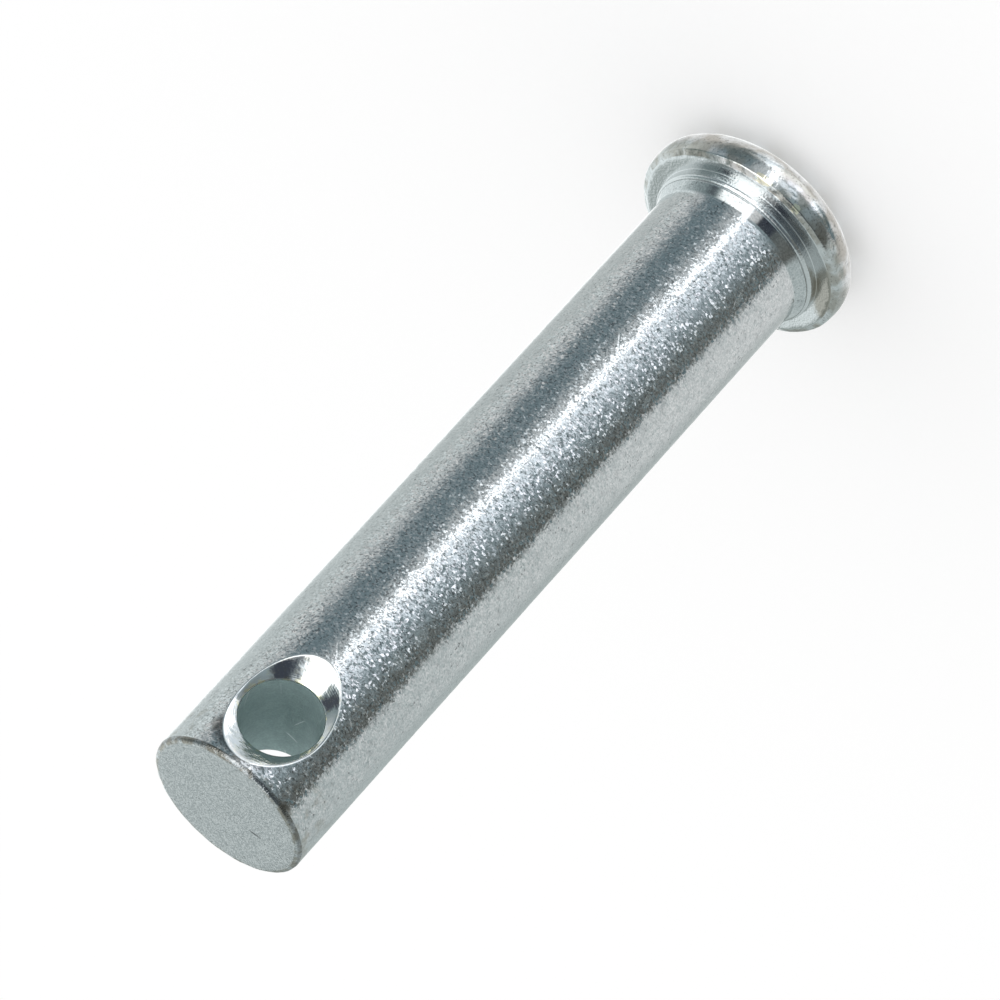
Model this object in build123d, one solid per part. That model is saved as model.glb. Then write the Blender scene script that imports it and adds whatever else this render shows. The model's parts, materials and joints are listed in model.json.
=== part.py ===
from build123d import *
import os

# Clevis pin in millimetres, one cold-headed and drilled piece of steel.
# It stands on the outer face of its head: the origin is the centre of that face,
# +Z runs up the shank to the tip, and the cross hole runs along Y.

# Shank
shank_diameter = 10.0
grip_length = 48.7  # from the seat under the head to the tip face
tip_edge_radius = 0.3  # broken edge round the tip face

# Head
head_diameter = 13.9
head_height = 3.35  # from the outer face to the seat
crown_width = 3.6  # radial width of the crown round the flat of the outer face
crown_height = 2.4  # from the outer face up to the widest line of the rim
rim_bulge = 0.08  # how far the rim barrels out between its edge and its widest line
seat_edge_width = 0.22  # broken edge between the rim and the seat
seat_edge_height = 0.15

# Collar and lead, the forms that the heading die leaves where shank and head meet
collar_width = 0.48  # radial step from the shank to the flank of the collar
collar_height = 0.5  # above the seat, where the collar meets the shank
collar_fall = 0.12  # the land of the collar slopes down by this much to its flank
collar_edge_radius = 0.12
collar_root_radius = 0.12
lead_length = 0.9  # flared end of the shank, just above the collar
lead_rise = 0.06  # radial growth of the shank along the lead

# Cross hole for a cotter or a spring clip
bore_diameter = 4.8
bore_to_tip = 4.45  # from the axis of the hole to the tip face
countersink_diameter = 7.8  # across the cone, in the plane that touches the shank
countersink_angle = 110.0

# Heights and radii that follow from the sizes above
shank_radius = shank_diameter / 2
head_radius = head_diameter / 2
flat_radius = head_radius - crown_width
rim_edge_radius = head_radius - rim_bulge
seat_radius = rim_edge_radius - seat_edge_width
collar_radius = shank_radius + collar_width
lead_foot_radius = shank_radius + lead_rise
seat_height = head_height
collar_top = seat_height + collar_height
lead_top = collar_top + lead_length
tip_height = seat_height + grip_length
bore_height = tip_height - bore_to_tip


def head_outline():
    """Outer face, crown, barrelled rim and seat, from the axis to the foot of the collar."""
    Line((0, 0), (flat_radius, 0))
    EllipticalCenterArc(
        (flat_radius, crown_height), crown_width, crown_height, start_angle=-90, arc_size=90
    )
    widest = (head_radius, crown_height)
    rim_edge = (rim_edge_radius, seat_height - seat_edge_height)
    TangentArc(widest, rim_edge, tangent=(0, 1))
    Line(rim_edge, (seat_radius, seat_height))
    Line((seat_radius, seat_height), (collar_radius, seat_height))


def shank_outline():
    """Collar, flared lead, shank and tip face, from the foot of the collar to the axis."""
    land_edge = (collar_radius, collar_top - collar_fall)
    lead_foot = (lead_foot_radius, collar_top)
    Polyline((collar_radius, seat_height), land_edge, lead_foot)
    TangentArc((shank_radius, lead_top), lead_foot, tangent=(0, -1))
    Polyline((shank_radius, lead_top), (shank_radius, tip_height), (0, tip_height))


def soften(section, radius, height, edge_radius):
    """Round the corner of the section that lies at this radius and height."""
    corner = section.vertices().sort_by_distance((radius, 0, height))[0]
    fillet(corner, edge_radius)


def turned_blank():
    """The pin as it leaves the header: a half section turned about the Z axis."""
    with BuildPart() as blank:
        with BuildSketch(Plane.XZ) as section:
            with BuildLine():
                head_outline()
                shank_outline()
                Line((0, tip_height), (0, 0))
            make_face()
            soften(section, collar_radius, seat_height, collar_root_radius)
            soften(section, collar_radius, collar_top - collar_fall, collar_edge_radius)
            soften(section, shank_radius, tip_height, tip_edge_radius)
        revolve(axis=Axis.Z)
    return blank.part


def drill_cross_hole(pin):
    """Drill the hole from both sides to the middle, with a countersink at each mouth."""
    with BuildPart() as drilled:
        add(pin)
        for side in (-1, 1):
            mouth = Plane(origin=(0, side * shank_radius, bore_height), z_dir=(0, side, 0))
            with Locations(mouth):
                CounterSinkHole(
                    bore_diameter / 2,
                    countersink_diameter / 2,
                    depth=shank_radius,
                    counter_sink_angle=countersink_angle,
                )
    return drilled.part


clevis_pin = drill_cross_hole(turned_blank())

os.makedirs("parts", exist_ok=True)
export_step(clevis_pin, "parts/clevis_pin.step")
print(f"clevis_pin: {clevis_pin.volume:.1f} mm3, {clevis_pin.bounding_box().size}")
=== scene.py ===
# %% [markdown]
# # A plated clevis pin
#
# A clevis pin joins a fork to an eye. It slides through both, its head stops it on one side, and a cotter
# or a spring clip through the cross hole stops it on the other. This one is a single piece of steel wire:
# a header presses the head onto one end, a drill and a countersink make the cross hole, and a thin coat
# of zinc goes on last.
#
# The construction is already fixed by the CAD model. This lesson dresses it: it builds a finer skin of
# the same form, gives each zone the finish that its own tool left, and lights it so that the metal shows.

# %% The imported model
import json
import math

import bmesh
import bpy
import numpy as np
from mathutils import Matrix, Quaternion, Vector, noise


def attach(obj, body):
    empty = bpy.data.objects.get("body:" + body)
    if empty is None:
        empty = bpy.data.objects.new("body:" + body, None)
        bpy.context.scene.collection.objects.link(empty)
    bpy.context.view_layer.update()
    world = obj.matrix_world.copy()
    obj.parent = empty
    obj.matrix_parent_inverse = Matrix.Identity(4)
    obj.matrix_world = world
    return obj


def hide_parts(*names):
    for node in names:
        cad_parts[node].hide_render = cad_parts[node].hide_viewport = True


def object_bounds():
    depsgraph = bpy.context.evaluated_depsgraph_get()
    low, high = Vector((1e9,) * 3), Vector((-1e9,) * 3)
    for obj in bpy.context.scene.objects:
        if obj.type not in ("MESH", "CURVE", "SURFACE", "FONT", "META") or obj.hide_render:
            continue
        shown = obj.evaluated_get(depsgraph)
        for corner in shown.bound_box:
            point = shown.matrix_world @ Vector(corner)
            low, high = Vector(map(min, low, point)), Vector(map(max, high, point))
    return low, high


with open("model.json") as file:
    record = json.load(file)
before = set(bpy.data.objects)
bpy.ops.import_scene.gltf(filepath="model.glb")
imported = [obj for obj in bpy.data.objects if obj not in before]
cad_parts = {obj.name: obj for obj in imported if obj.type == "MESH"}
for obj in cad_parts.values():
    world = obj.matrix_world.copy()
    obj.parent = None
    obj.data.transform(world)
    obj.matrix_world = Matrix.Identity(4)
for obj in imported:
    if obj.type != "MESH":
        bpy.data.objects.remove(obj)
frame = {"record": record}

cad_low, cad_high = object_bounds()
print("CAD box in mm:", [round(side * 1000, 2) for side in cad_high - cad_low])

# %% [markdown]
# ## Sizes come from the record
#
# The record says where another part would meet this one, and how big each of those places is. Reading
# the sizes from there, rather than typing them again, keeps this script true to the CAD model if the
# model changes. Shapes are worked out in millimetres, the unit a maker would use, and turned into
# metres once, when the mesh is made.

# %% Sizes from the record
MM = 0.001
mounts = {mount["name"]: mount for mount in frame["record"]["mounts"]}


def height_of(name):
    """Height of a mount above the outer face of the head, in millimetres."""
    return mounts[name]["pos_m"][2] / MM


shank_radius = mounts["shank"]["dims"]["r_mm"]
bore_radius = mounts["cross_hole"]["dims"]["r_mm"]
bore_height = height_of("cross_hole")
bore_reach = mounts["cross_hole"]["dims"]["length_mm"] / 2
seat_height = height_of("seat")
tip_height = cad_high.z / MM
head_radius = cad_high.x / MM
print("shank radius", shank_radius, "head radius", round(head_radius, 2), "length", round(tip_height, 2))

# %% [markdown]
# ## The camera
#
# A long lens from a little way off keeps the sides of the shank almost parallel, as a catalogue picture
# does. The camera looks down on the tip and is then rolled over, so that the pin lies across the
# picture with its head at the upper right, although it stands on its head in the model.

# %% Camera
view_turn = -15.47  # degrees round the pin; at 0 the camera looks straight at the cross hole
view_height = 28.49  # degrees above the horizon
view_roll = -137.76  # degrees about the line of sight
view_distance = 378.92 * MM
lens_length = 241.8
aim_offset = Vector((0.204, -0.057, 0.434)) * MM

aim = (cad_low + cad_high) / 2
aim.x = aim_offset.x
aim.y = aim_offset.y
aim.z += aim_offset.z
turn = math.radians(view_turn)
rise = math.radians(view_height)
back = Vector((math.sin(turn) * math.cos(rise), -math.cos(turn) * math.cos(rise), math.sin(rise)))

camera_data = bpy.data.cameras.new("product_camera")
camera_data.lens = lens_length
camera_data.sensor_width = 36.0
camera_data.clip_start = 0.01
camera_data.clip_end = 20.0
camera = bpy.data.objects.new("product_camera", camera_data)
bpy.context.scene.collection.objects.link(camera)
camera.location = aim + back * view_distance
camera.rotation_mode = "QUATERNION"
level_view = (-back).to_track_quat("-Z", "Y")
camera.rotation_quaternion = level_view @ Quaternion((0, 0, 1), math.radians(view_roll))
bpy.context.scene.camera = camera
bpy.context.scene.view_settings.view_transform = "Standard"
print("camera stands", round(view_distance / MM), "mm from the pin")

# %% [markdown]
# ## Colours and nodes
#
# A colour is written as the hex value that a paint program shows. Blender's shaders work in linear
# light, so one function turns it over. A second function adds a node with its settings and its inputs.
# Every material below, and the light round the pin, is made with these two.

# %% Two helpers
def linear(code):
    """Turns an sRGB hex colour into the linear RGBA that a shader takes."""
    shares = [int(code[place : place + 2], 16) / 255 for place in (1, 3, 5)]
    curve = [share / 12.92 if share <= 0.04045 else ((share + 0.055) / 1.055) ** 2.4 for share in shares]
    return (*curve, 1.0)


def add(tree, kind, inputs=None, **settings):
    """Adds a node. An input takes a value, or is linked to a node's first output or to a named one."""
    made = tree.nodes.new(kind)
    for setting, value in settings.items():
        setattr(made, setting, value)
    for place, given in (inputs or {}).items():
        source = given.outputs[0] if isinstance(given, bpy.types.Node) else given
        if isinstance(source, bpy.types.NodeSocket):
            tree.links.new(source, made.inputs[place])
        else:
            made.inputs[place].default_value = source
    return made


print("white paper is", [round(part, 2) for part in linear("#f5f5f5")[:3]], "in linear light")

# %% [markdown]
# ## The floor
#
# The pin stands on a plain pale floor of white paper. Most of the paper's brightness is the light that
# falls on it, so it keeps the soft shadow of the head. A small glow, which only the camera sees, lifts
# the rest to the white of the background without throwing more light on the metal. Reflections pass
# the floor by, because the white tent below the pin takes its place in them.

# %% Floor
floor_radius = 2.0
floor_mesh = bpy.data.meshes.new("floor")
floor_shape = bmesh.new()
bmesh.ops.create_circle(floor_shape, cap_ends=True, radius=floor_radius, segments=96)
floor_shape.to_mesh(floor_mesh)
floor_shape.free()
floor = bpy.data.objects.new("floor", floor_mesh)
bpy.context.scene.collection.objects.link(floor)
floor.visible_glossy = False
floor.visible_transmission = False

floor_paint = bpy.data.materials.new("white_paper_floor")
floor_paint.use_nodes = True
paper = floor_paint.node_tree
paper.nodes.clear()
paper_path = add(paper, "ShaderNodeLightPath")
paper_side = add(paper, "ShaderNodeNewGeometry")
lit_paper = add(paper, "ShaderNodeBsdfDiffuse", {"Color": linear("#dedede")})
glow_inputs = {"Color": linear("#8f8f8f"), "Strength": paper_path.outputs["Is Camera Ray"]}
paper_glow = add(paper, "ShaderNodeEmission", glow_inputs)
both = add(paper, "ShaderNodeAddShader", {0: lit_paper, 1: paper_glow})
# Seen from below, the paper is clear, so that a look at the outer face of the head isn't blocked.
clear = add(paper, "ShaderNodeBsdfTransparent")
one_sided = add(paper, "ShaderNodeMixShader", {0: paper_side.outputs["Backfacing"], 1: both, 2: clear})
add(paper, "ShaderNodeOutputMaterial", {"Surface": one_sided})
floor_mesh.materials.append(floor_paint)
print("floor is", floor_radius * 2, "m across")

# %% [markdown]
# ## The studio drum
#
# Polished metal has hardly any colour of its own: it shows what stands around it. A photographer puts a
# white tent round such a part and hangs cards and lamps in it, and their reflections draw the roundness
# of the shank. Here the tent is the world itself. Each card is a window of directions, given by a turn
# round the pin and a height above the horizon, with soft or hard edges, and each is hung over the ones
# before it. Only reflections see the cards, so the metal mirrors more than the plain white that the
# camera sees behind it. The cards are set for the camera above: from other sides the pin mirrors
# whatever happens to hang there. An even white dome lights the floor and all that is matt, and throws
# the soft shadow.

# %% Cards in the drum
tent_brightness = 1.04
# name, turn, half width, edge, height, half height, height edge, light in red, green and blue
cards = [
    ("back_wall", 146, 66, 35, 14, 47, 19, (0.37, 0.42, 0.41)),
    ("left_wall", 120, 45, 12, 8, 35, 21, (1.03, 1.11, 1.12)),
    ("right_wall", -118, 61, 30, 51, 80, 16, (0.61, 0.68, 0.68)),
    ("left_flag", 42, 28, 41, -29, 49, 20, (0.22, 0.29, 0.32)),
    ("left_upper_flag", 64, 35, 34, 29, 26, 26, (0.28, 0.35, 0.36)),
    ("right_flag", -50, 31, 14, 8, 47, 26, (0.16, 0.17, 0.16)),
    ("right_upper_flag", -43, 45, 31, 52, 24, 23, (0.13, 0.16, 0.18)),
    ("right_flag_low", -65, 31, 27, -52, 18, 4, (0.18, 0.25, 0.27)),
    ("floor_glow", -9, 82, 35, -86, 17, 21, (1.64, 1.68, 1.71)),
    ("box_left", 27, 19, 9, -68, 23, 16, (0.93, 1.01, 1.07)),
    ("box_middle", -19, 41, 30, -62, 19, 10, (1.85, 1.93, 1.99)),
    ("box_right", -25, 25, 15, -52, 14, 26, (1.82, 1.84, 1.99)),
    ("top_glow", 29, 36, 52, 60, 19, 9, (2.40, 2.60, 2.70)),
    ("right_ramp", -26, 25, 40, -11, 28, 16, (0.33, 0.41, 0.44)),
    ("strip_halo", -13, 15, 32, -27, 6, 6, (1.31, 1.42, 1.53)),
    ("strip", 1, 4, 3, -23, 48, 9, (2.30, 2.36, 2.45)),
    ("softbox", 22, 21, 9, 40, 25, 31, (2.60, 2.65, 2.65)),
    ("back_left_glow", 158, 14, 16, -30, 22, 14, (1.3, 1.33, 1.33)),
    ("left_fold_high", 40, 18, 10, -15, 3, 3, (0.42, 0.47, 0.5)),
    ("left_fold_low", 40, 18, 10, -42, 3, 3, (0.42, 0.47, 0.5)),
    ("right_fold", -66, 10, 8, -42, 3, 3, (0.36, 0.37, 0.35)),
    ("dark_edge_left", 56, 7, 5, 22, 9, 6, (0.08, 0.09, 0.11)),
    ("dark_edge_right", -28, 12, 6, 27, 10, 6, (0.06, 0.07, 0.09)),
]
print("the drum holds", len(cards), "cards")

# %% Studio drum
studio = bpy.data.worlds.new("studio")
bpy.context.scene.world = studio
studio.use_nodes = True
studio.cycles.sampling_method = "NONE"
drum = studio.node_tree
drum.nodes.clear()
parts = add(drum, "ShaderNodeSeparateXYZ", {0: add(drum, "ShaderNodeTexCoord").outputs["Generated"]})
toward_front = add(drum, "ShaderNodeMath", {0: parts.outputs["Y"], 1: -1.0}, operation="MULTIPLY")
turn_round = add(drum, "ShaderNodeMath", {0: parts.outputs["X"], 1: toward_front}, operation="ARCTAN2")
height_angle = add(drum, "ShaderNodeMath", {0: parts.outputs["Z"]}, operation="ARCSINE")


def window(angle, middle, half, edge):
    """How far a direction is inside a span of angles in degrees: 1 inside, 0 outside, smooth between."""
    away = add(drum, "ShaderNodeMath", {0: angle, 1: math.radians(middle)}, operation="SUBTRACT")
    short_way = add(drum, "ShaderNodeMath", {0: away, 1: math.pi, 2: -math.pi}, operation="WRAP")
    distance = add(drum, "ShaderNodeMath", {0: short_way}, operation="ABSOLUTE")
    outside = math.radians(half + edge / 2)
    inside = math.radians(half - edge / 2)
    span = {"Value": distance, "From Min": outside, "From Max": inside}
    return add(drum, "ShaderNodeMapRange", span, interpolation_type="SMOOTHSTEP")


view_of_drum = tuple([tent_brightness] * 3 + [1.0])
for name, middle, half, edge, height, half_height, height_edge, light in cards:
    across = window(turn_round, middle, half, edge)
    up = window(height_angle, height, half_height, height_edge)
    card = add(drum, "ShaderNodeMath", {0: across, 1: up}, operation="MULTIPLY", label=name)
    hung = {"Fac": card, "Color1": view_of_drum, "Color2": (*light, 1.0)}
    view_of_drum = add(drum, "ShaderNodeMixRGB", hung)

path = add(drum, "ShaderNodeLightPath")
mirrored = {0: path.outputs["Is Glossy Ray"], 1: path.outputs["Is Transmission Ray"]}
in_metal_or_glass = add(drum, "ShaderNodeMath", mirrored, operation="MAXIMUM")
seen = {"Fac": in_metal_or_glass, "Color1": (1.0, 1.0, 1.0, 1.0), "Color2": view_of_drum}
dome = add(drum, "ShaderNodeBackground", {"Color": add(drum, "ShaderNodeMixRGB", seen), "Strength": 1.0})
add(drum, "ShaderNodeOutputWorld", {"Surface": dome})
print("the drum is made of", len(drum.nodes), "nodes")

# %% [markdown]
# ## The outline of the head
#
# A lathe or a header makes round things, so one outline from the axis outwards says the whole form.
# The outline runs from the middle of the outer face, over the crown and the rim, along the seat, over
# the bead and up the lead, to the shank. Runs are straight, an ellipse or an arc, as the tools leave them.
# Corners are eased with a small curve, because plated steel never has a perfectly sharp edge, and it is
# that little curve that catches the light.

# %% Sizes of the head
crown_width = 3.6
crown_height = 2.4
rim_bulge = 0.08
seat_edge_width = 0.4  # broken edge between the rim and the seat
seat_edge_height = 0.19
seat_fall = 0.05  # the seat is a shallow dish, so the head bears on its outer edge
seat_ease = 0.06
root_width = 0.06  # small round between the seat and the bead
collar_width = 0.49
bead_radius = 0.26
bead_height = 0.4  # middle of the bead over the seat
bead_reach = 0.24  # and how far it is outside the shank
bead_span = (-15, 80)  # degrees, from its foot to its top
lead_foot_height = 0.7
lead_foot_width = 0.36
lead_length = 0.7  # flared end of the shank
lead_ease = 0.12
groove_ease = 0.03
tip_edge = 0.3

flat_radius = head_radius - crown_width
rim_edge_radius = head_radius - rim_bulge
seat_radius = rim_edge_radius - seat_edge_width
collar_radius = shank_radius + collar_width
lead_top = seat_height + lead_foot_height + lead_length
print("seat runs from", round(collar_radius, 2), "to", round(seat_radius, 2), "mm off the axis")


# %% Straight runs and eased corners
def straight(start, end, steps):
    """Points from just after start to end."""
    shares = np.arange(1, steps + 1) / steps
    return [tuple(np.array(start) * (1 - share) + np.array(end) * share) for share in shares]


def bend(start, corner, end, share):
    """The place at a share of the way along the curve that rounds a corner and touches both sides."""
    first, middle, last = (np.array(place, float) for place in (start, corner, end))
    return first * (1 - share) ** 2 + middle * 2 * share * (1 - share) + last * share**2


def eased(start, corner, end, steps):
    """Points round a corner, from just after start to end."""
    return [tuple(bend(start, corner, end, share)) for share in np.arange(1, steps + 1) / steps]


def toward(start, end, length):
    """The point that lies a length from start on the way to end."""
    way = np.array(end, float) - np.array(start, float)
    return tuple(np.array(start, float) + way / np.linalg.norm(way) * length)


print("a 1 mm corner eased in two steps:", eased((0, 0), (1, 0), (1, 1), 2))

# %% [markdown]
# ## Crown, barrel and lead
#
# The crown of the head is an ellipse, because the header's cavity is rounded there. The rim bulges like
# a barrel, where the metal swelled into the gap between the tools.

# %% Curved runs
crown = [
    (flat_radius + crown_width * math.sin(angle), crown_height * (1 - math.cos(angle)))
    for angle in np.linspace(0, math.pi / 2, 33)[1:]
]
barrel_height = seat_height - seat_edge_height - crown_height
barrel_radius = (barrel_height**2 + rim_bulge**2) / (2 * rim_bulge)
barrel = [
    (head_radius - barrel_radius + math.sqrt(barrel_radius**2 - rise_here**2), crown_height + rise_here)
    for rise_here in np.linspace(0, barrel_height, 9)[1:]
]
print("barrel arc", round(barrel_radius, 1), "mm in radius")

# %% [markdown]
# ## Bead and lead
#
# The die that forms the underside of the head has its own mouth. Beside the seat it leaves a small
# round bead, and then a lead that narrows to the shank like a funnel. So the shank is thickest where
# the head pulls on it, which is where such a pin would crack if the corner were sharp. The bead and
# the lead are drawn a little fuller than the collar and the flare of the CAD model.

# %% Corners of the outline
rim_corner = (rim_edge_radius, seat_height - seat_edge_height)
seat_corner = (seat_radius, seat_height)
root_corner = (collar_radius, seat_height - seat_fall)
bead_middle = (shank_radius + bead_reach, seat_height + bead_height)
bead = [
    (bead_middle[0] + bead_radius * math.cos(angle), bead_middle[1] + bead_radius * math.sin(angle))
    for angle in np.radians(np.linspace(*bead_span, 14))
]
groove = (collar_radius, bead[0][1] - groove_ease)
lead_foot = (shank_radius + lead_foot_width, seat_height + lead_foot_height)
lead_corner = (shank_radius, lead_top)

rim_end = toward(rim_corner, seat_corner, seat_ease)
edge_end = toward(seat_corner, rim_corner, seat_ease)
seat_start = toward(seat_corner, root_corner, seat_ease)
root_start = toward(root_corner, seat_corner, root_width)
root_end = toward(root_corner, groove, root_width)
groove_start = toward(groove, root_corner, groove_ease)
lead_end = toward(lead_corner, lead_foot, lead_ease)
shank_start = (shank_radius, lead_top + lead_ease)
print("the lead narrows by", lead_foot_width, "mm over", lead_length, "mm")

# %% Outline of the head
runs = [
    ("outer_face", straight((0, 0), (flat_radius, 0), 10)),
    ("rim", crown + barrel[:-1]),
    ("rim", eased(barrel[-2], rim_corner, rim_end, 4)),
    ("rim", straight(rim_end, edge_end, 3)),
    ("seat", eased(edge_end, seat_corner, seat_start, 3)),
    ("seat", straight(seat_start, root_start, 8)),
    ("seat", eased(root_start, root_corner, root_end, 4)),
    ("seat", straight(root_end, groove_start, 3)),
    ("collar", eased(groove_start, groove, bead[0], 3)),
    ("collar", bead[1:]),
    ("collar", straight(bead[-1], lead_foot, 2)),
    ("shank", straight(lead_foot, lead_end, 8)),
    ("shank", eased(lead_end, lead_corner, shank_start, 6)),
]
print("the head's outline has", sum(len(points) for zone, points in runs), "points")

# %% [markdown]
# ## The skin of the pin
#
# The whole skin is one grid: rows go up the outline, columns go round. Round the cross hole the grid
# opens into a square window, and rings lead from the window's edge to the lip, down the cone and
# through the bore. A boolean cut would be quicker, but it leaves long thin faces along the lip, and
# those show as dark smears in polished metal. Rings that follow the lip keep the reflections clean.

# %% Rows of the grid
columns = 240
half_window = 34  # columns from the middle of a window to its side
window_low = 43.2
window_rows = 52
window_high = tip_height - tip_edge
shank_rows = 110
quarter = np.linspace(0, math.pi / 2, 13)[1:]
tip_round = [
    (shank_radius - tip_edge * (1 - math.cos(angle)), window_high + tip_edge * math.sin(angle))
    for angle in quarter
]

runs.append(("shank", straight(shank_start, (shank_radius, window_low), shank_rows)))
first_window_row = sum(len(points) for zone, points in runs) - 1
runs.append(("shank", straight((shank_radius, window_low), (shank_radius, window_high), window_rows)))
last_window_row = sum(len(points) for zone, points in runs) - 1
runs.append(("tip", tip_round))
runs.append(("tip", straight((shank_radius - tip_edge, tip_height), (0, tip_height), 14)[:-1]))

zones = [zone for zone, points in runs for point in points]
outline = np.array([point for zone, points in runs for point in points])
radii, heights = outline[:, 0], outline[:, 1]
angles = 2 * math.pi * np.arange(columns) / columns
grid = np.stack(
    [
        radii[:, None] * np.sin(angles)[None, :],
        -radii[:, None] * np.cos(angles)[None, :],
        np.repeat(heights[:, None], columns, axis=1),
    ],
    axis=-1,
)
print("grid of", len(outline), "rows by", columns, "columns")

# %% [markdown]
# ## The cross hole
#
# Where a cone meets a round bar, its lip is an oval that dips at the sides. For each angle round the
# hole, the distance to the lip follows from the cone and the circle of the shank, so it can be solved
# exactly instead of searched for.

# %% The lip and the cone
countersink_angle = 110.0
cone_slope = math.tan(math.radians(countersink_angle / 2))
cone_radius = bore_radius + (shank_radius - bore_reach) * cone_slope


def lip_distance(around):
    """Distance from the axis of the hole to the lip, for angles round the hole."""
    side = np.sin(around)
    offset = shank_radius * cone_slope - cone_radius
    square = 1 + (cone_slope * side) ** 2
    rest = offset**2 - (shank_radius * cone_slope) ** 2
    return (-offset + np.sqrt(offset**2 - square * rest)) / square


def on_shank(across, height):
    """Points on the near side of the shank, from a distance along its round and a height."""
    angle = across / shank_radius
    return np.stack([shank_radius * np.sin(angle), -shank_radius * np.cos(angle), height], axis=-1)


def on_cone(around, distance):
    """Points of the near countersink, from an angle round the hole and a distance from its axis."""
    depth = -(shank_radius - (cone_radius - distance) / cone_slope)
    across, up = distance * np.sin(around), distance * np.cos(around)
    return np.stack([across, depth, bore_height + up], axis=-1)


print("countersink is", round(cone_radius * 2, 2), "mm across the cone")

# %% [markdown]
# ## From the window's edge to the lip
#
# Each point on the edge of the window looks straight at the axis of the hole, and that angle gives it
# its own place on the lip. Between the two, rings follow the round of the shank. They crowd together
# near the lip, where the surface turns, and the lip itself is eased by a tenth of a millimetre.

# %% Edge of the window
low, high, side = first_window_row, last_window_row, half_window
edge_loop = [(high, column) for column in range(-side, side)]
edge_loop += [(row, side) for row in range(high, low, -1)]
edge_loop += [(low, column) for column in range(side, -side, -1)]
edge_loop += [(row, -side) for row in range(low, high)]

edge_across = np.array([column for row, column in edge_loop]) * 2 * math.pi * shank_radius / columns
edge_height = np.array([heights[row] for row, column in edge_loop])
around = np.arctan2(edge_across, edge_height - bore_height)
lip = lip_distance(around)
lip_across = shank_radius * np.arcsin(lip * np.sin(around) / shank_radius)
lip_height = bore_height + lip * np.cos(around)
print("the lip is", round(lip.min() * 2, 2), "to", round(lip.max() * 2, 2), "mm across")

# %% Rings from the window to the middle of the bore
lip_ease = 0.09
bore_ease = 0.06
bore_rings = 9
ring_shares = (0.14, 0.27, 0.39, 0.5, 0.6, 0.69, 0.77, 0.84, 0.9, 0.95, 0.98, 1.0)

outward = np.stack([edge_across - lip_across, edge_height - lip_height], axis=-1)
outward_length = np.linalg.norm(outward, axis=-1)
ease_here = np.minimum(lip_ease, outward_length * 0.4)
start_across = lip_across + outward[:, 0] * ease_here / outward_length
start_height = lip_height + outward[:, 1] * ease_here / outward_length

window_rings = []
for share in ring_shares:
    across_here = edge_across * (1 - share) + start_across * share
    height_here = edge_height * (1 - share) + start_height * share
    window_rings.append(("shank", on_shank(across_here, height_here)))

lip_start = on_shank(start_across, start_height)
lip_point = on_cone(around, lip)
lip_end = on_cone(around, lip - ease_here)
for share in (0.2, 0.4, 0.6, 0.8, 1.0):
    window_rings.append(("countersink", bend(lip_start, lip_point, lip_end, share)))

cone_end = bore_radius + bore_ease
for share in np.linspace(0, 1, 11)[1:]:
    distance = (lip - ease_here) * (1 - share) + cone_end * share
    window_rings.append(("countersink", on_cone(around, distance)))

bore_edge = on_cone(around, np.full(len(around), bore_radius))
bore_start = bore_edge + np.array([0, bore_ease, 0])
cone_last = on_cone(around, np.full(len(around), cone_end))
for share in (0.33, 0.67, 1.0):
    window_rings.append(("countersink", bend(cone_last, bore_edge, bore_start, share)))

for share in np.linspace(0, 1, bore_rings + 1)[1:]:
    window_rings.append(("bore", bore_start * np.array([1, 1 - share, 1])))
print("each side of the hole has", len(window_rings), "rings of", len(around), "points")

# %% [markdown]
# ## Joining grid and rings
#
# A vertex of the grid is known by its row and column. Faces of the grid that lie in a window are left
# out, and the rings fill the gap. The far side of the hole is the near one mirrored, and both meet in
# the ring at the middle of the bore.

# %% Skin
places = [tuple(point) for row in grid for point in row]
quads = []
quad_zones = []


def number(row, column):
    """Number of the grid's vertex at that row and column."""
    return row * columns + column % columns


def in_window(row, column):
    """True where a face of the grid lies in one of the two windows round the cross hole."""
    near = (column + half_window) % columns < 2 * half_window
    far = (column - columns // 2 + half_window) % columns < 2 * half_window
    return first_window_row <= row < last_window_row and (near or far)


def join_rings(outer, inner, zone, flip):
    """Fills the band between two rings with quads."""
    count = len(outer)
    for place in range(count):
        after = (place + 1) % count
        corners = (outer[place], outer[after], inner[after], inner[place])
        quads.append(corners[::-1] if flip else corners)
        quad_zones.append(zone)


for row in range(len(outline) - 1):
    for column in range(columns):
        if not in_window(row, column):
            lower = (number(row, column), number(row, column + 1))
            upper = (number(row + 1, column + 1), number(row + 1, column))
            quads.append(lower + upper)
            quad_zones.append(zones[row + 1])
print("the grid gives", len(quads), "faces")

# %% Rings into the skin
middle_ring = None
for middle, mirror in ((0, 1), (columns // 2, -1)):
    outer = [number(row, middle + mirror * column) for row, column in edge_loop]
    for place, (zone, ring) in enumerate(window_rings):
        meets_middle = place == len(window_rings) - 1 and middle_ring is not None
        inner = middle_ring if meets_middle else list(range(len(places), len(places) + len(ring)))
        if not meets_middle:
            places.extend(tuple(point) for point in ring * np.array([1, mirror, 1]))
        join_rings(outer, inner, zone, mirror == 1)
        outer = inner
    middle_ring = outer

for row, height, zone in ((0, 0.0, "outer_face"), (len(outline) - 1, tip_height, "tip")):
    centre = len(places)
    places.append((0.0, 0.0, height))
    for column in range(columns):
        quads.append((number(row, column), number(row, column + 1), centre))
        quad_zones.append(zone)
print("skin has", len(places), "vertices and", len(quads), "faces")

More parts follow.
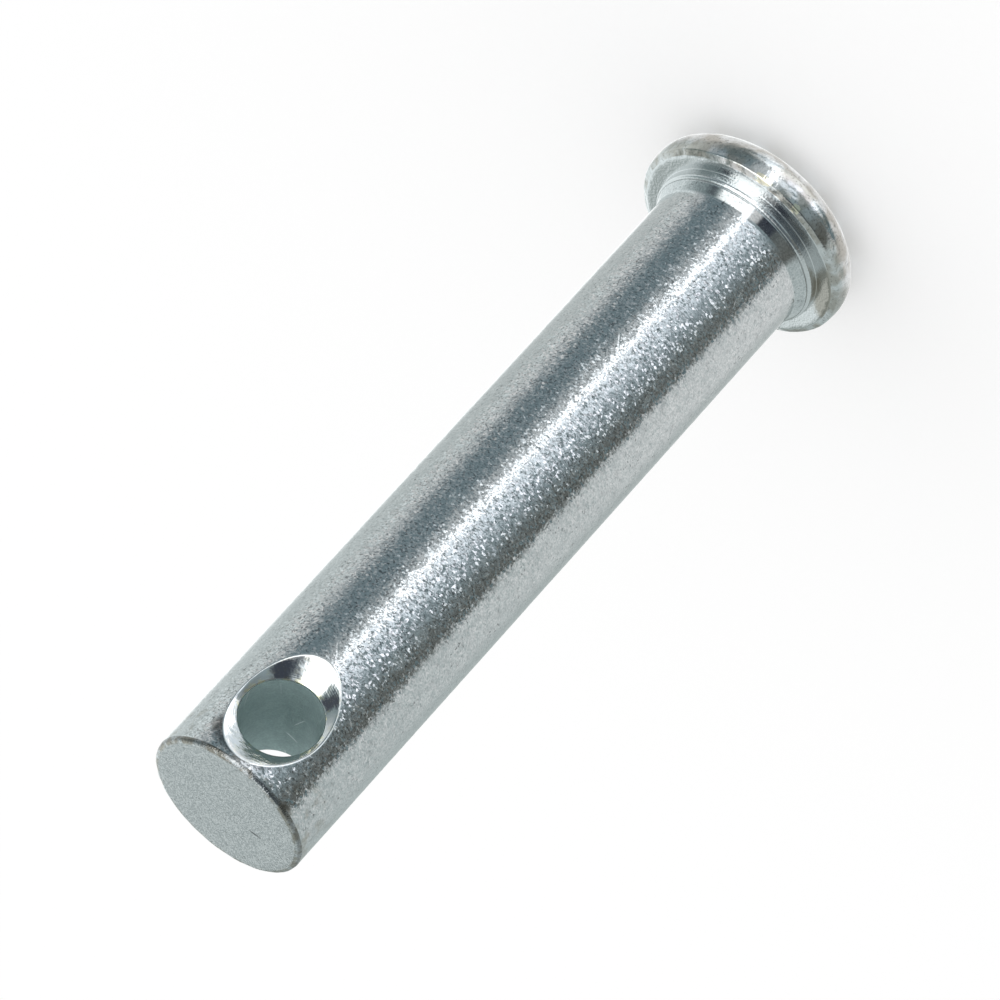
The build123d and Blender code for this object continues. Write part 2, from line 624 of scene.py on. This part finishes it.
# %% Mesh
zone_names = ["shank", "seat", "collar", "rim", "outer_face", "countersink", "bore", "tip"]
pin_mesh = bpy.data.meshes.new("plated_pin")
pin_mesh.from_pydata([tuple(part * MM for part in place) for place in places], [], quads)
pin_mesh.polygons.foreach_set("use_smooth", [True] * len(quads))
pin_mesh.polygons.foreach_set("material_index", [zone_names.index(zone) for zone in quad_zones])
skin = bmesh.new()
skin.from_mesh(pin_mesh)
loose = [vertex for vertex in skin.verts if not vertex.link_faces]
bmesh.ops.delete(skin, geom=loose, context="VERTS")
bmesh.ops.recalc_face_normals(skin, faces=skin.faces)
open_edges = [edge for edge in skin.edges if len(edge.link_faces) != 2]
print("removed", len(loose), "loose vertices; open edges:", len(open_edges))

# %% [markdown]
# ## Wear in the form
#
# A header's blow and a tumble in the plating barrel leave marks too deep for a bump in the finish. The
# rim swelled freely and is lumpy, the broken edge of the seat is ragged, the shorn edge of the tip is
# chipped, and the shank is not perfectly true. Each vertex is pushed in along its own normal, by a few
# hundredths of a millimetre, with smooth noise that is the same on every run. Nothing is pushed out, so
# the pin keeps inside its construction.

# %% Wear
lump_size = 1.2
dent_size = 0.5
rim_lumps = 0.02
rim_dents = 0.02
edge_rag = 0.07
rag_size = 0.42
rag_reach = 0.36  # how far from the middle of the seat's edge it can be ragged
chip_depth = 0.04
chip_size = 0.8
chip_reach = 0.62  # how far from the tip's edge it can be chipped
shank_waves = 0.012
wave_size = 3.5


def swell(place, size, seed):
    """A smooth random value from about 0 to 1, in lumps of about the given size in millimetres."""
    return 0.5 + 0.5 * noise.noise(place / size + Vector((seed, 0.0, 0.0)))


def rising(value, low, high):
    """0 below low, 1 above high, straight between."""
    return min(1.0, max(0.0, (value - low) / (high - low)))


def wear_depth(place):
    """How far the surface at a place in millimetres has been pushed in."""
    off_axis = math.hypot(place.x, place.y)
    seat_gap = math.hypot(off_axis - (seat_radius + rim_edge_radius) / 2, place.z - seat_height)
    tip_gap = math.hypot(off_axis - shank_radius, place.z - tip_height)
    on_head = rising(seat_height - place.z, -0.02, 0.3) * rising(off_axis, 3.0, 6.0)
    on_shank = rising(place.z, lead_top, lead_top + 2) * rising(off_axis, 4.8, 4.95)
    depth = on_head * rim_lumps * swell(place, lump_size, 3)
    depth += on_head * rim_dents * rising(swell(place, dent_size, 11), 0.58, 0.85)
    rag = rising(swell(place, rag_size, 23), 0.42, 0.85)
    depth += edge_rag * rising(rag_reach - seat_gap, 0.0, 0.3) * rag
    chips = rising(swell(place, chip_size, 31), 0.45, 0.9)
    depth += chip_depth * rising(chip_reach - tip_gap, 0.0, 0.5) * chips
    depth += on_shank * shank_waves * swell(place, wave_size, 47)
    return depth


# %% Wear into the skin
skin.normal_update()
pushed = [(vertex, wear_depth(vertex.co / MM) * MM) for vertex in skin.verts]
moved = [(vertex, vertex.normal.copy() * depth) for vertex, depth in pushed]
for vertex, step in moved:
    vertex.co -= step
deepest = max(depth for vertex, depth in pushed)
skin.to_mesh(pin_mesh)
skin.free()
pin = bpy.data.objects.new("plated_pin", pin_mesh)
bpy.context.scene.collection.objects.link(pin)
triangles = sum(len(face.vertices) - 2 for face in pin_mesh.polygons)
print("deepest wear is", round(deepest / MM, 3), "mm;", triangles, "triangles")

# %% [markdown]
# ## Zinc plate, and what each tool left under it
#
# The plate is only about eight thousandths of a millimetre thick, so it follows the steel below it and
# shows how each zone was made. The metal is the same all over: pale, slightly blue from its passivate
# dip. What changes from zone to zone is the relief and how sharply it reflects. Patterns are placed by
# the pin's own coordinates in millimetres, so a pattern's scale is one over the size of its marks.

# %% What the finishes share
zinc = linear("#d6d8d8")
zinc_shaded = linear("#abb0b1")
zinc_warm = linear("#e6e1c8")
zinc_rubbed = linear("#e3e6e4")
scuff = linear("#8d8575")
pit = linear("#3f4042")


def start_finish(name):
    """A new material with its surface shader, and the pin's coordinates in millimetres."""
    finish = bpy.data.materials.new(name)
    finish.use_nodes = True
    tree = finish.node_tree
    tree.nodes.clear()
    surface = add(tree, "ShaderNodeBsdfPrincipled", {"Metallic": 1.0})
    add(tree, "ShaderNodeOutputMaterial", {"Surface": surface})
    spot = add(tree, "ShaderNodeTexCoord").outputs["Object"]
    spot_in_mm = add(tree, "ShaderNodeVectorMath", {0: spot, "Scale": 1 / MM}, operation="SCALE")
    return finish, tree, surface, spot_in_mm


def patches(tree, spot, size, low, high, detail=2.0):
    """Cloudy patches about size millimetres across: 0 where the cloud is thin, 1 where it is thick."""
    cloud = add(tree, "ShaderNodeTexNoise", {"Vector": spot, "Scale": 1 / size, "Detail": detail})
    span = {"Value": cloud, "From Min": low, "From Max": high}
    return add(tree, "ShaderNodeMapRange", span, interpolation_type="SMOOTHSTEP")


def coats(tree, tone, layers):
    """Lays colours over the first in turn, each where its mask is, as thick as its share says."""
    for mask, share, colour in layers:
        thickness = add(tree, "ShaderNodeMath", {0: mask, 1: share}, operation="MULTIPLY")
        tone = add(tree, "ShaderNodeMixRGB", {"Fac": thickness, "Color1": tone, "Color2": colour})
    return tone


def dress(tree, surface, tone, roughness, relief):
    """Gives a surface its colour, its roughness, as a node or a number, and its relief."""
    tree.links.new(tone.outputs[0], surface.inputs["Base Color"])
    tree.links.new(relief.outputs[0], surface.inputs["Normal"])
    if isinstance(roughness, bpy.types.Node):
        tree.links.new(roughness.outputs[0], surface.inputs["Roughness"])
    else:
        surface.inputs["Roughness"].default_value = roughness


finishes = {}
print("zinc reflects", [round(part, 2) for part in zinc[:3]], "of the light that falls straight on it")

# %% [markdown]
# ## Nicks
#
# Parts that tumble against each other get straight nicks. One cell of a Voronoi pattern holds one nick
# at most: the cell's random colour gives its slant, and the distance from the cell's point gives its
# width and its ends.

# %% Nicks
def nicks(tree, spot, cell, width, length, share):
    """Straight nicks, one to a cell at most, each at its own slant: 1 in a nick, 0 outside."""
    cells = add(tree, "ShaderNodeTexVoronoi", {"Vector": spot, "Scale": 1 / cell})
    centre, chance = cells.outputs["Position"], cells.outputs["Color"]
    offset = add(tree, "ShaderNodeVectorMath", {0: spot, 1: centre}, operation="SUBTRACT")
    slant = add(tree, "ShaderNodeVectorMath", {0: chance, 1: (0.5, 0.5, 0.5)}, operation="SUBTRACT")
    across = add(tree, "ShaderNodeVectorMath", {0: slant}, operation="NORMALIZE")
    aside = add(tree, "ShaderNodeVectorMath", {0: offset, 1: across}, operation="DOT_PRODUCT")
    away = add(tree, "ShaderNodeMath", {0: aside.outputs["Value"]}, operation="ABSOLUTE")
    reach = add(tree, "ShaderNodeVectorMath", {0: offset}, operation="LENGTH").outputs["Value"]
    line = add(tree, "ShaderNodeMapRange", {"Value": away, "From Min": width / 2, "From Max": width / 8})
    ends = add(tree, "ShaderNodeMapRange", {"Value": reach, "From Min": length / 2, "From Max": length / 4})
    drawn = add(tree, "ShaderNodeMath", {0: chance, 1: 1.0 - share}, operation="GREATER_THAN")
    whole = add(tree, "ShaderNodeMath", {0: line, 1: ends}, operation="MULTIPLY")
    return add(tree, "ShaderNodeMath", {0: whole, 1: drawn}, operation="MULTIPLY")


print("a nick is a line with soft ends")

# %% [markdown]
# ## Placed knocks
#
# A few knocks on this pin are larger and stand alone. Each is a flat ellipse laid on the surface, given
# by its turn round the pin, its height, its slant, and its length and width. A slant of 90 degrees lies
# along the pin. Small noise in the coordinates keeps their edges from looking drawn.

# %% Knocks
def knocks(tree, spot, radius, marks):
    """Ellipses on a round surface: 1 inside a mark, 0 outside."""
    ragged = add(tree, "ShaderNodeTexNoise", {"Vector": spot, "Scale": 1 / 0.22, "Detail": 1.0})
    rag = {0: ragged.outputs["Color"], 1: (0.5, 0.5, 0.5)}
    centred = add(tree, "ShaderNodeVectorMath", rag, operation="SUBTRACT")
    small = add(tree, "ShaderNodeVectorMath", {0: centred, "Scale": 0.35}, operation="SCALE")
    shaken = add(tree, "ShaderNodeVectorMath", {0: spot, 1: small}, operation="ADD")
    nearest = 10.0
    for mark_turn, height, slant, length, width in marks:
        angle = math.radians(mark_turn)
        placing = {
            "Vector": shaken,
            "Location": (radius * math.sin(angle), -radius * math.cos(angle), height),
            "Rotation": (0.0, math.radians(slant), angle),
            "Scale": (length / 2, 1.0, width / 2),
        }
        local = add(tree, "ShaderNodeMapping", placing, vector_type="TEXTURE")
        away = add(tree, "ShaderNodeVectorMath", {0: local}, operation="LENGTH").outputs["Value"]
        nearest = add(tree, "ShaderNodeMath", {0: away, 1: nearest}, operation="MINIMUM")
    inside = {"Value": nearest, "From Min": 1.1, "From Max": 0.7}
    return add(tree, "ShaderNodeMapRange", inside, interpolation_type="SMOOTHSTEP")


print("a knock is an ellipse with a ragged edge")

# %% [markdown]
# ## The shank: drawn wire, tumbled and plated
#
# The shank is wire as it came from the drawing die. It was then tumbled with others in a plating
# barrel, and their blows broke its skin into small facets, about a sixth of a millimetre across. A
# Voronoi pattern makes them: the random colour of each cell leans the surface one way. They lean along
# the pin more than sideways, so the edges of the dark bands stay fairly straight, while the bright
# streak breaks into light and dark specks. The facets are shading alone, being far too fine to model.
# They are drawn strongest on one side, weak on the rest, and fade out on the lead under the head, which
# the die pressed smooth.

# %% Relief of the shank
grain_size = 0.2
grain_squeeze = 1.35  # how much shorter a mark is along the pin than round it
grain_depth = 0.004
facet_size = 0.16
facet_lean = (0.02, 0.02, 0.075)  # how far most facets lean, as a share of the normal
facet_tilt = (0.07, 0.07, 0.18)  # and how much further the few steepest do
strong_turn = -3  # the middle of the side where the facets are strongest, in degrees round the pin
strong_edge = (0.62, 0.8)  # cosines of the angles from there where full strength begins and is reached
weak_facets = 0.25  # their strength on the rest
edge_shake = 0.16  # how far noise bends the straight edges of the facets
pit_size = 0.42
pit_depth = 0.006

finish, tree, surface, spot = start_finish("tumbled_wire_zinc")
soft = {"interpolation_type": "SMOOTHSTEP"}
squeezed = add(tree, "ShaderNodeVectorMath", {0: spot, 1: (1.0, 1.0, grain_squeeze)}, operation="MULTIPLY")
height = add(tree, "ShaderNodeSeparateXYZ", {0: spot}).outputs["Z"]
fade_span = {"Value": height, "From Min": lead_top - 0.2, "From Max": lead_top + 0.5, "To Min": 0.04}
fade = add(tree, "ShaderNodeMapRange", fade_span, **soft)
growth_span = {"Value": height, "From Min": lead_top, "From Max": tip_height, "To Min": 0.85, "To Max": 1.15}
growth = add(tree, "ShaderNodeMapRange", growth_span)
uneven = patches(tree, spot, 2.6, 0.3, 0.66)
patchy = add(tree, "ShaderNodeMapRange", {"Value": uneven, "To Min": 0.7})
strength = add(tree, "ShaderNodeMath", {0: fade, 1: growth}, operation="MULTIPLY")
strength = add(tree, "ShaderNodeMath", {0: strength, 1: patchy}, operation="MULTIPLY")
strong = math.radians(strong_turn)
strong_way = (math.sin(strong) / shank_radius, -math.cos(strong) / shank_radius, 0.0)
facing = add(tree, "ShaderNodeVectorMath", {0: spot, 1: strong_way}, operation="DOT_PRODUCT")
strong_span = {
    "Value": facing.outputs["Value"],
    "From Min": strong_edge[0],
    "From Max": strong_edge[1],
    "To Min": weak_facets,
}
strong_side = add(tree, "ShaderNodeMapRange", strong_span, **soft)
strength = add(tree, "ShaderNodeMath", {0: strength, 1: strong_side}, operation="MULTIPLY")

shaking = add(tree, "ShaderNodeTexNoise", {"Vector": squeezed, "Scale": 1 / 0.12, "Detail": 1.0})
shaken = {0: shaking.outputs["Color"], 1: (edge_shake,) * 3, 2: squeezed}
bent = add(tree, "ShaderNodeVectorMath", shaken, operation="MULTIPLY_ADD")
facets = add(tree, "ShaderNodeTexVoronoi", {"Vector": bent, "Scale": 1 / facet_size})
to_both_sides = {0: facets.outputs["Color"], 1: (2.0, 2.0, 2.0), 2: (-1.0, -1.0, -1.0)}
lean = add(tree, "ShaderNodeVectorMath", to_both_sides, operation="MULTIPLY_ADD")
squared = add(tree, "ShaderNodeVectorMath", {0: lean, 1: lean}, operation="MULTIPLY")
steeper = {0: squared, 1: facet_tilt, 2: facet_lean}
reach = add(tree, "ShaderNodeVectorMath", steeper, operation="MULTIPLY_ADD")
lean = add(tree, "ShaderNodeVectorMath", {0: lean, 1: reach}, operation="MULTIPLY")
lean = add(tree, "ShaderNodeVectorMath", {0: lean, "Scale": strength}, operation="SCALE")
upright = add(tree, "ShaderNodeNewGeometry").outputs["Normal"]
leaning = add(tree, "ShaderNodeVectorMath", {0: upright, 1: lean}, operation="ADD")
facet_normal = add(tree, "ShaderNodeVectorMath", {0: leaning}, operation="NORMALIZE")
grain = patches(tree, squeezed, grain_size, 0.3, 0.7, detail=1.5)
grained = {"Height": grain, "Distance": grain_depth * MM, "Strength": strength, "Normal": facet_normal}
fine = add(tree, "ShaderNodeBump", grained)
hollows = patches(tree, squeezed, pit_size, 0.56, 0.74, detail=2.0)
hollowed = {"Height": hollows, "Distance": pit_depth * MM, "Strength": strength, "Normal": fine}
pitted = add(tree, "ShaderNodeBump", hollowed, invert=True)
print("grain marks are", grain_size, "mm and", grain_depth * 1000, "thousandths of a millimetre deep")

# %% Marks on the shank
big_nicks = nicks(tree, spot, 2.4, 0.13, 1.3, 0.25)
small_nicks = nicks(tree, spot, 1.1, 0.1, 0.55, 0.2)
all_nicks = add(tree, "ShaderNodeMath", {0: big_nicks, 1: small_nicks}, operation="MAXIMUM")
# turn, height above the outer face, slant, length, width
shank_marks = [
    (-34, 40.6, 20, 1.0, 0.8),
    (-34, 38.7, 70, 1.1, 0.8),
    (-42, 8.9, 80, 1.3, 0.3),
    (-41, 17.8, 75, 0.9, 0.25),
    (-17, 9.3, 35, 1.2, 0.16),
    (-26, 22.6, 20, 0.9, 0.14),
    (11, 30.8, 60, 1.0, 0.5),
    (-10, 26.5, -30, 1.0, 0.14),
    (-20, 14.2, 15, 1.1, 0.15),
    (30, 30.6, 90, 3.2, 0.1),
    (29, 27.2, 90, 2.0, 0.12),
    (28, 24.6, 90, 1.4, 0.1),
]
big_knocks = knocks(tree, spot, shank_radius, shank_marks)
lone = add(tree, "ShaderNodeMath", {0: all_nicks, 1: big_knocks}, operation="MAXIMUM")
dented = {"Height": lone, "Distance": 0.008 * MM, "Strength": 0.7, "Normal": pitted}
relief = add(tree, "ShaderNodeBump", dented, invert=True)
print("the shank has", len(shank_marks), "placed knocks")

# %% [markdown]
# ## Colour of the shank
#
# Up close the plate isn't one grey. It is speckled as finely as the grain, clouded over a millimetre,
# and holds a few dark flecks where dirt stayed in the hollows. Near the tip, where a hand or a fork
# has rubbed it, a warm brown film shows. Dark specks, partly pits and partly painted shade, are
# painted thickest on the side of the bright streak, and dark patches of painted shade lie over the
# streak near the tip.

# %% Colour of the shank
# Painted shade: dark patches laid over the bright streak near the tip, where the streak fades.
# turn, height above the outer face, slant, length, width
shade_marks_near_tip = [(6, 50.4, 12, 5.6, 2.6), (14, 47.6, 60, 3.4, 1.6)]
highest_roughness = 0.2
speckle = patches(tree, squeezed, 0.13, 0.32, 0.68, detail=1.0)
clouding = patches(tree, spot, 0.7, 0.36, 0.7, detail=3.0)
fleck_spots = patches(tree, spot, 0.2, 0.64, 0.72, detail=1.0)
fleck_areas = patches(tree, spot, 1.6, 0.46, 0.62)
flecks = add(tree, "ShaderNodeMath", {0: fleck_spots, 1: fleck_areas}, operation="MULTIPLY")
film_span = {"Value": height, "From Min": tip_height - 4.5, "From Max": tip_height - 0.5}
film_place = add(tree, "ShaderNodeMapRange", film_span, **soft)
film_cloud = patches(tree, spot, 0.9, 0.5, 0.68, detail=3.0)
painted_shade_near_tip = knocks(tree, spot, shank_radius, shade_marks_near_tip)
film = add(tree, "ShaderNodeMath", {0: film_place, 1: film_cloud}, operation="MULTIPLY")

# Dark specks that follow the facets' strength: partly real pits, partly painted shade standing in for the
# dark reflections that break up the bright streak, so they are thickest on that side.
dark_specks = patches(tree, squeezed, 0.15, 0.56, 0.66, detail=1.0)
pits_and_painted_shade = add(tree, "ShaderNodeMath", {0: dark_specks, 1: strength}, operation="MULTIPLY")
layers = [
    (speckle, 0.6, zinc_shaded),
    (clouding, 0.3, zinc_shaded),
    (pits_and_painted_shade, 0.6, pit),
    (hollows, 0.22, pit),
    (flecks, 0.6, pit),
    (film, 0.5, scuff),
    (painted_shade_near_tip, 0.7, pit),
    (lone, 0.3, zinc_rubbed),
]
tone = coats(tree, zinc, layers)
dullness = add(tree, "ShaderNodeMapRange", {"Value": clouding, "To Min": 0.07, "To Max": 0.14})
dullness = add(tree, "ShaderNodeMath", {0: dullness, 1: lone}, operation="ADD", use_clamp=True)
dull_cap = add(tree, "ShaderNodeMath", {0: dullness, 1: highest_roughness}, operation="MINIMUM")
dress(tree, surface, tone, dull_cap, relief)
finishes["shank"] = finish
print("the shank's finish has", len(tree.nodes), "nodes")

# %% [markdown]
# ## Collar, lead and seat: pressed against polished tool steel
#
# Metal that was pressed against a polished die copies its smoothness, so the seat and the bead mirror
# the shank. A faint cloudiness from the plating bath softens them, and a grain as fine as sand that
# the plate itself has. A brown patch darkens one side of the seat.

# %% Die-formed seat and collar
# turn, height, slant, length, width
seat_brown_patch = [(-84, seat_height, 0, 5.5, 1.2)]
brown_patch_reach = 1.2  # from the shank to the middle of the brown patch
sand_share = 0.15
for zone, sharpest, dullest in (("seat", 0.1, 0.16), ("collar", 0.14, 0.2)):
    finish, tree, surface, spot = start_finish("die_formed_zinc_" + zone)
    cloud = patches(tree, spot, 0.8, 0.3, 0.7, detail=3.0)
    sand = patches(tree, spot, 0.14, 0.32, 0.68, detail=1.0)
    brown_patch = knocks(tree, spot, shank_radius + brown_patch_reach, seat_brown_patch)
    tone = coats(tree, zinc, [(sand, sand_share, zinc_shaded), (brown_patch, 0.7, scuff)])
    dullness = add(tree, "ShaderNodeMapRange", {"Value": cloud, "To Min": sharpest, "To Max": dullest})
    gentle = add(tree, "ShaderNodeTexNoise", {"Vector": spot, "Scale": 1 / 1.4})
    rolling = add(tree, "ShaderNodeBump", {"Height": gentle, "Distance": 0.008 * MM})
    sandy = {"Height": sand, "Distance": 0.0035 * MM, "Normal": rolling}
    dress(tree, surface, tone, dullness, add(tree, "ShaderNodeBump", sandy))
    finishes[zone] = finish
print("seat and collar mirror the shank")

# %% [markdown]
# ## The rim: metal that swelled freely
#
# When the header squeezes the head, the rim bulges out and touches no tool. Its skin stretches and
# roughens like orange peel, and rubs against other pins in the barrel afterwards. So the rim is finely
# mottled, with warm grey scuffs, dark grains and small bright dents. Beside the seat a drop or two of
# the passivate dried thicker, and tints the plate straw yellow there.

# %% Upset rim and outer face
# turn, height above the outer face, slant, length, width
straw_stains = [(-4, 3.1, 0, 1.3, 0.5), (-25, 3.12, 0, 0.6, 0.4)]
for zone in ("rim", "outer_face"):
    finish, tree, surface, spot = start_finish("upset_zinc_" + zone)
    peel = patches(tree, spot, 0.24, 0.3, 0.7, detail=2.0)
    worn = patches(tree, spot, 1.3, 0.36, 0.6, detail=4.0)
    grains = patches(tree, spot, 0.17, 0.56, 0.7, detail=2.0)
    straw = knocks(tree, spot, rim_edge_radius - 0.1, straw_stains)
    layers = [(peel, 0.3, zinc_shaded), (worn, 0.6, scuff), (grains, 0.4, pit), (straw, 0.8, zinc_warm)]
    tone = coats(tree, zinc, layers)
    dullness = add(tree, "ShaderNodeMapRange", {"Value": worn, "To Min": 0.08, "To Max": 0.18})
    orange_peel = add(tree, "ShaderNodeBump", {"Height": peel, "Distance": 0.004 * MM})
    dug = nicks(tree, spot, 1.3, 0.12, 0.7, 0.25)
    dug_in = {"Height": dug, "Distance": 0.012 * MM, "Normal": orange_peel}
    dress(tree, surface, tone, dullness, add(tree, "ShaderNodeBump", dug_in, invert=True))
    finishes[zone] = finish
print("orange peel is about a quarter of a millimetre")

# %% [markdown]
# ## The countersink: cut metal
#
# A countersink turns as it cuts and leaves fine rings round the hole, bright because fresh-cut steel
# was plated. The real rings are closer than the render can show, so they are drawn a tenth of a
# millimetre apart. Round the mouth of the bore the passivate pooled and dried yellowish.

# %% Countersink
tool_ring = 0.1
tarnish_edge = (2.75, 2.45)  # from the axis: it begins, and is full from here to the bore
finish, tree, surface, spot = start_finish("cut_zinc_countersink")
from_axis = add(tree, "ShaderNodeVectorMath", {0: spot, 1: (0.0, 0.0, bore_height)}, operation="SUBTRACT")
flat = add(tree, "ShaderNodeVectorMath", {0: from_axis, 1: (1.0, 0.0, 1.0)}, operation="MULTIPLY")
off_axis = add(tree, "ShaderNodeVectorMath", {0: flat}, operation="LENGTH").outputs["Value"]
drift = add(tree, "ShaderNodeTexNoise", {"Vector": spot, "Scale": 1 / 0.9})
drift_mm = add(tree, "ShaderNodeMath", {0: drift, 1: 0.12}, operation="MULTIPLY")
ring_mm = add(tree, "ShaderNodeMath", {0: off_axis, 1: drift_mm}, operation="ADD")
ring_turns = add(tree, "ShaderNodeMath", {0: ring_mm, 1: 2 * math.pi / tool_ring}, operation="MULTIPLY")
rings = add(tree, "ShaderNodeMath", {0: ring_turns}, operation="SINE")
ring_areas = patches(tree, spot, 0.8, 0.4, 0.62)
ringed = {"Height": rings, "Distance": 0.0006 * MM, "Strength": ring_areas}
turned = add(tree, "ShaderNodeBump", ringed)
chatter = add(tree, "ShaderNodeTexNoise", {"Vector": spot, "Scale": 1 / 0.5, "Detail": 2.0})
chattered = {"Height": chatter, "Distance": 0.016 * MM, "Normal": turned}
tarnish = patches(tree, spot, 0.35, 0.52, 0.64, detail=3.0)
inner_span = {"Value": off_axis, "From Min": tarnish_edge[0], "From Max": tarnish_edge[1]}
inner = add(tree, "ShaderNodeMapRange", inner_span)
tarnish_place = add(tree, "ShaderNodeMapRange", {"Value": inner, "To Min": 0.25})
tarnished = add(tree, "ShaderNodeMath", {0: tarnish, 1: tarnish_place}, operation="MULTIPLY")
tone = coats(tree, zinc, [(tarnished, 1.0, zinc_warm)])
dress(tree, surface, tone, 0.09, add(tree, "ShaderNodeBump", chattered))
finishes["countersink"] = finish
print("tool rings are", tool_ring, "mm apart")

# %% [markdown]
# ## The bore: thin, dull plate
#
# Inside the bore the plating current hardly reaches, so the coat is thin and dull, and the steel's grey
# shows through it blue-green. It scatters light instead of mirroring it, which is why it counts here
# as only part metal. A few scores show where the drill's chips came out.

# %% Bore
finish, tree, surface, spot = start_finish("thin_dull_zinc_bore")
surface.inputs["Metallic"].default_value = 0.35
surface.inputs["Specular IOR Level"].default_value = 0.2
long_way = add(tree, "ShaderNodeVectorMath", {0: spot, 1: (1.0, 0.35, 1.0)}, operation="MULTIPLY")
scores = nicks(tree, long_way, 0.8, 0.05, 0.9, 0.4)
bore_cloud = patches(tree, spot, 0.6, 0.3, 0.7, detail=3.0)
bore_sand = patches(tree, spot, 0.12, 0.3, 0.7, detail=1.0)
dull_zinc = {"Fac": bore_cloud, "Color1": linear("#acc1bf"), "Color2": linear("#a0b4b4")}
tone = add(tree, "ShaderNodeMixRGB", dull_zinc)
tone = coats(tree, tone, [(bore_sand, 0.3, linear("#71878a")), (scores, 1.0, linear("#dfe8e8"))])
bore_grain = add(tree, "ShaderNodeBump", {"Height": bore_sand, "Distance": 0.005 * MM})
dress(tree, surface, tone, 0.55, bore_grain)
finishes["bore"] = finish
print("bore is", bore_radius * 2, "mm across")

# %% [markdown]
# ## The tip: sheared to length
#
# The wire was cropped to length, which leaves a flat, even, matt grey face with a grain like fine sand.
# Its edge was rubbed round in the barrel, and shows warm scuffs, dark specks and one or two cuts. A
# dark ring painted round the edge is painted shade.

# %% Sheared tip
finish, tree, surface, spot = start_finish("sheared_zinc_tip")
off_centre = add(tree, "ShaderNodeVectorMath", {0: spot, 1: (1.0, 1.0, 0.0)}, operation="MULTIPLY")
from_middle = add(tree, "ShaderNodeVectorMath", {0: off_centre}, operation="LENGTH").outputs["Value"]
edge_span = {"Value": from_middle, "From Min": shank_radius - 0.42, "From Max": shank_radius - 0.2}
near_edge = add(tree, "ShaderNodeMapRange", edge_span, **soft)
rub_cloud = patches(tree, spot, 0.6, 0.4, 0.6, detail=3.0)
rubbed = add(tree, "ShaderNodeMath", {0: near_edge, 1: rub_cloud}, operation="MULTIPLY")
sand = patches(tree, spot, 0.1, 0.34, 0.66, detail=1.0)
specks = patches(tree, spot, 0.24, 0.68, 0.74, detail=1.0)
# Painted shade: a dark ring round the tip's rounded edge.
edge_shade_span = {"Value": from_middle, "From Min": shank_radius - 0.2, "From Max": shank_radius - 0.08}
painted_edge_shade = add(tree, "ShaderNodeMapRange", edge_shade_span, **soft)
cut_place = {"Vector": spot, "Location": (-2.08, 0.62, tip_height), "Scale": (0.48, 0.11, 0.5)}
cut_frame = add(tree, "ShaderNodeMapping", cut_place, vector_type="TEXTURE")
cut_gap = add(tree, "ShaderNodeVectorMath", {0: cut_frame}, operation="LENGTH").outputs["Value"]
cut = add(tree, "ShaderNodeMapRange", {"Value": cut_gap, "From Min": 1.0, "From Max": 0.5, "To Max": 0.75})
layers = [
    (sand, 0.9, zinc_shaded),
    (rubbed, 0.75, scuff),
    (specks, 0.45, pit),
    (painted_edge_shade, 0.5, pit),
    (cut, 1.0, pit),
]
dullness = add(tree, "ShaderNodeMapRange", {"Value": near_edge, "To Min": 0.4, "To Max": 0.22})
sandy = add(tree, "ShaderNodeBump", {"Height": sand, "Distance": 0.007 * MM})
dress(tree, surface, coats(tree, zinc, layers), dullness, sandy)
finishes["tip"] = finish
print("finishes:", ", ".join(sorted(finishes)))

# %% [markdown]
# ## Finishes onto the skin
#
# Each face of the skin already knows its zone, so the finishes only have to go into the mesh's slots in
# the same order.

# %% Finishes onto the skin
for zone in zone_names:
    pin_mesh.materials.append(finishes[zone])
print(len(pin_mesh.materials), "finishes on the skin")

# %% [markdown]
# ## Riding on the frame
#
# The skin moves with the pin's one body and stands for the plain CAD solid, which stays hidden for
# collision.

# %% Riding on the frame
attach(pin, "root")
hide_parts("clevis_pin")
print("the skin rides on root and replaces clevis_pin")
